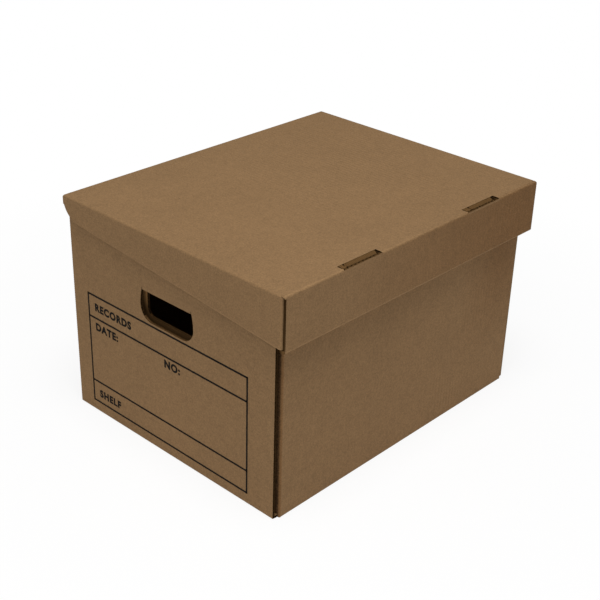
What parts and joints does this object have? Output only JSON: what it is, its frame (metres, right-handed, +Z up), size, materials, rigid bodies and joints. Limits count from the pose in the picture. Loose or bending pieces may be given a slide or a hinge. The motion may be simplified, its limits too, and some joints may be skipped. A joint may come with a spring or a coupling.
{
  "type": "archive box",
  "caption": "Folded corrugated board box for filed papers, with a lid creased to its rear wall and a hand hole with a push-in flap in each end.",
  "frame": {"origin": "centre of the base, on the surface that the box stands on", "axes": "+X along the long walls towards the plain end, +Y from the front to the rear wall that carries the lid, +Z up"},
  "size_m": [0.4038, 0.3244, 0.256],
  "materials": {
    "kraft_board": "uncoated brown kraft liners on single-wall corrugated board"
  },
  "bodies": {
    "box": {"bottom_panel": "kraft_board", "front_panel": "kraft_board", "rear_panel": "kraft_board", "left_end_outer": "kraft_board", "left_end_top_fold": "kraft_board", "left_end_inner": "kraft_board", "left_front_corner_flap": "kraft_board", "left_rear_corner_flap": "kraft_board", "right_end_outer": "kraft_board", "right_end_top_fold": "kraft_board", "right_end_inner": "kraft_board", "right_front_corner_flap": "kraft_board", "right_rear_corner_flap": "kraft_board"},
    "lid": {"lid_top_panel": "kraft_board", "lid_front_outer": "kraft_board", "lid_front_hem": "kraft_board", "lid_front_inner": "kraft_board", "lid_left_end_skirt": "kraft_board", "lid_right_end_skirt": "kraft_board", "lid_left_ear": "kraft_board", "lid_right_ear": "kraft_board"},
    "left_handle": {"left_handle_flap": "kraft_board"},
    "right_handle": {"right_handle_flap": "kraft_board"}
  },
  "joints": [
    {"name": "lid_hinge", "type": "hinge", "parent": "box", "child": "lid", "pos_m": [0, 0.1555, 0.2545], "axis": [-1, 0, 0], "range_deg": [0, 180]},
    {"name": "left_handle_hinge", "type": "hinge", "parent": "box", "child": "left_handle", "pos_m": [-0.1959, 0, 0.1879], "axis": [0, 1, 0], "range_deg": [0, 90]},
    {"name": "right_handle_hinge", "type": "hinge", "parent": "box", "child": "right_handle", "pos_m": [0.1959, 0, 0.1879], "axis": [0, -1, 0], "range_deg": [0, 90]}
  ]
}
